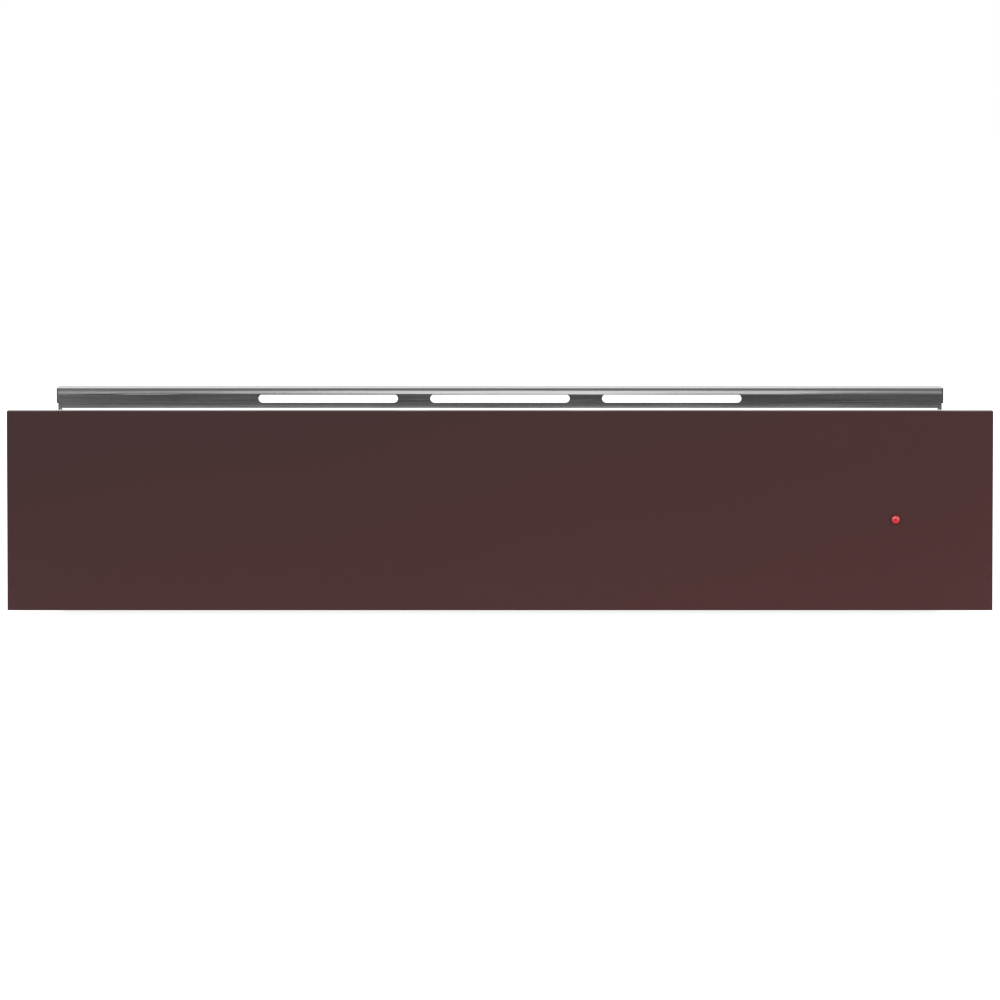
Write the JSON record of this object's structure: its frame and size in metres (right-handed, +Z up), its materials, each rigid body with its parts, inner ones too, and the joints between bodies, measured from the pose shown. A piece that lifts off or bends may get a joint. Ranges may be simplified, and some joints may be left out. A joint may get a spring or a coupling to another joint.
{
  "type": "warming drawer",
  "caption": "Handleless built-in warming drawer: painted front with a pilot lamp, slotted steel rail above, tray, heater and fan in a tub on telescopic ball runners.",
  "frame": {"origin": "middle of the whole width and depth, at the level of the feet's undersides", "axes": "+Z up, +X to the viewer's right, the front panel faces -Y and the drawer opens towards -Y"},
  "size_m": [0.595, 0.5626, 0.1359],
  "materials": {
    "front_paint": "satin",
    "frame_steel": "satin",
    "board": "matte",
    "lamp_red": "gloss",
    "lamp_black": "satin",
    "rail_steel": "brushed",
    "zinc_steel": "satin",
    "runner_steel": "satin",
    "ball_steel": "polished",
    "cage_plastic": "matte",
    "tray_steel": "brushed",
    "mat_rubber": "matte",
    "insulation": "matte",
    "bright_sheet": "polished",
    "heater_tube": "satin",
    "clip_steel": "satin",
    "black_plastic": "satin",
    "fan_metal": "satin",
    "bearing_bronze": "satin",
    "motor_iron": "satin",
    "spring_steel": "satin",
    "rubber": "matte",
    "wire_sleeve": "matte"
  },
  "bodies": {
    "housing": {"base_sheet": "zinc_steel", "eject_spring": "spring_steel", "feet": "rubber", "front_rail": "rail_steel", "latch_case": "zinc_steel", "latch_pin": "ball_steel", "latch_spring": "spring_steel", "mains_grommet": "rubber", "rear_wall": "zinc_steel", "rubber_buffers": "rubber", "runner_outer_left": "runner_steel", "runner_outer_right": "runner_steel", "side_wall_left": "zinc_steel", "side_wall_right": "zinc_steel", "spring_guide": "spring_steel"},
    "drawer": {"front_panel": "front_paint", "front_frame": "frame_steel", "panel_filler": "board", "lamp_body": "lamp_black", "lamp_lens": "lamp_red", "drawer_tub": "frame_steel", "control_fascia": "frame_steel", "thermostat": "black_plastic", "power_switch": "black_plastic", "warming_tray": "tray_steel", "non_slip_mat": "mat_rubber", "insulation_mat": "insulation", "reflector_plate": "bright_sheet", "heater_element": "heater_tube", "heater_clips": "clip_steel", "thermal_cutout": "black_plastic", "rear_cover": "zinc_steel", "fan_housing": "zinc_steel", "fan_bearing": "bearing_bronze", "fan_motor": "motor_iron", "terminal_block": "black_plastic", "cable_gland": "black_plastic", "wiring_loom": "wire_sleeve", "striker_bracket": "zinc_steel", "striker_pin": "ball_steel", "runner_inner_left": "runner_steel", "runner_inner_right": "runner_steel"},
    "knob": {"temperature_knob": "black_plastic", "thermostat_spindle": "ball_steel"},
    "rocker": {"power_rocker": "black_plastic"},
    "fan": {"fan_impeller": "fan_metal", "motor_rotor": "motor_iron"},
    "latch_hook_body": {"latch_hook": "black_plastic"},
    "middle_left": {"runner_middle_left": "runner_steel"},
    "middle_right": {"runner_middle_right": "runner_steel"},
    "cage_outer_left": {"ball_cage_outer_left": "cage_plastic", "balls_outer_left": "ball_steel"},
    "cage_outer_right": {"ball_cage_outer_right": "cage_plastic", "balls_outer_right": "ball_steel"},
    "cage_inner_left": {"ball_cage_inner_left": "cage_plastic", "balls_inner_left": "ball_steel"},
    "cage_inner_right": {"ball_cage_inner_right": "cage_plastic", "balls_inner_right": "ball_steel"}
  },
  "joints": [
    {"name": "drawer_slide", "type": "slide", "parent": "housing", "child": "drawer", "axis": [0, -1, 0], "range_m": [-0.003, 0.42], "deforming": ["eject_spring"]},
    {"name": "middle_slide_left", "type": "slide", "parent": "housing", "child": "middle_left", "axis": [0, -1, 0], "range_m": [-0.0015, 0.21]},
    {"name": "outer_cage_slide_left", "type": "slide", "parent": "housing", "child": "cage_outer_left", "axis": [0, -1, 0], "range_m": [-0.00075, 0.105]},
    {"name": "inner_cage_slide_left", "type": "slide", "parent": "housing", "child": "cage_inner_left", "axis": [0, -1, 0], "range_m": [-0.00225, 0.315]},
    {"name": "middle_slide_right", "type": "slide", "parent": "housing", "child": "middle_right", "axis": [0, -1, 0], "range_m": [-0.0015, 0.21]},
    {"name": "outer_cage_slide_right", "type": "slide", "parent": "housing", "child": "cage_outer_right", "axis": [0, -1, 0], "range_m": [-0.00075, 0.105]},
    {"name": "inner_cage_slide_right", "type": "slide", "parent": "housing", "child": "cage_inner_right", "axis": [0, -1, 0], "range_m": [-0.00225, 0.315]},
    {"name": "knob_turn", "type": "hinge", "parent": "drawer", "child": "knob", "pos_m": [0.17, -0.22815, 0.088], "axis": [0, 0, -1], "range_deg": [0, 270]},
    {"name": "rocker_tilt", "type": "hinge", "parent": "drawer", "child": "rocker", "pos_m": [0.11, -0.22815, 0.087], "axis": [0, -1, 0], "range_deg": [0, 12]},
    {"name": "fan_spin", "type": "hinge", "parent": "drawer", "child": "fan", "pos_m": [0, 0.21985, 0.05], "axis": [1, 0, 0], "continuous": true},
    {"name": "latch_pivot", "type": "hinge", "parent": "housing", "child": "latch_hook_body", "pos_m": [0, 0.27335, 0.046], "axis": [1, 0, 0], "range_deg": [0, 22], "stiffness_Nm_per_rad": 0.05, "deforming": ["latch_spring"]}
  ],
  "couplings": [
    {"joint": "middle_slide_left", "follows": "drawer_slide", "ratio": 0.5},
    {"joint": "outer_cage_slide_left", "follows": "drawer_slide", "ratio": 0.25},
    {"joint": "inner_cage_slide_left", "follows": "drawer_slide", "ratio": 0.75},
    {"joint": "middle_slide_right", "follows": "drawer_slide", "ratio": 0.5},
    {"joint": "outer_cage_slide_right", "follows": "drawer_slide", "ratio": 0.25},
    {"joint": "inner_cage_slide_right", "follows": "drawer_slide", "ratio": 0.75}
  ]
}
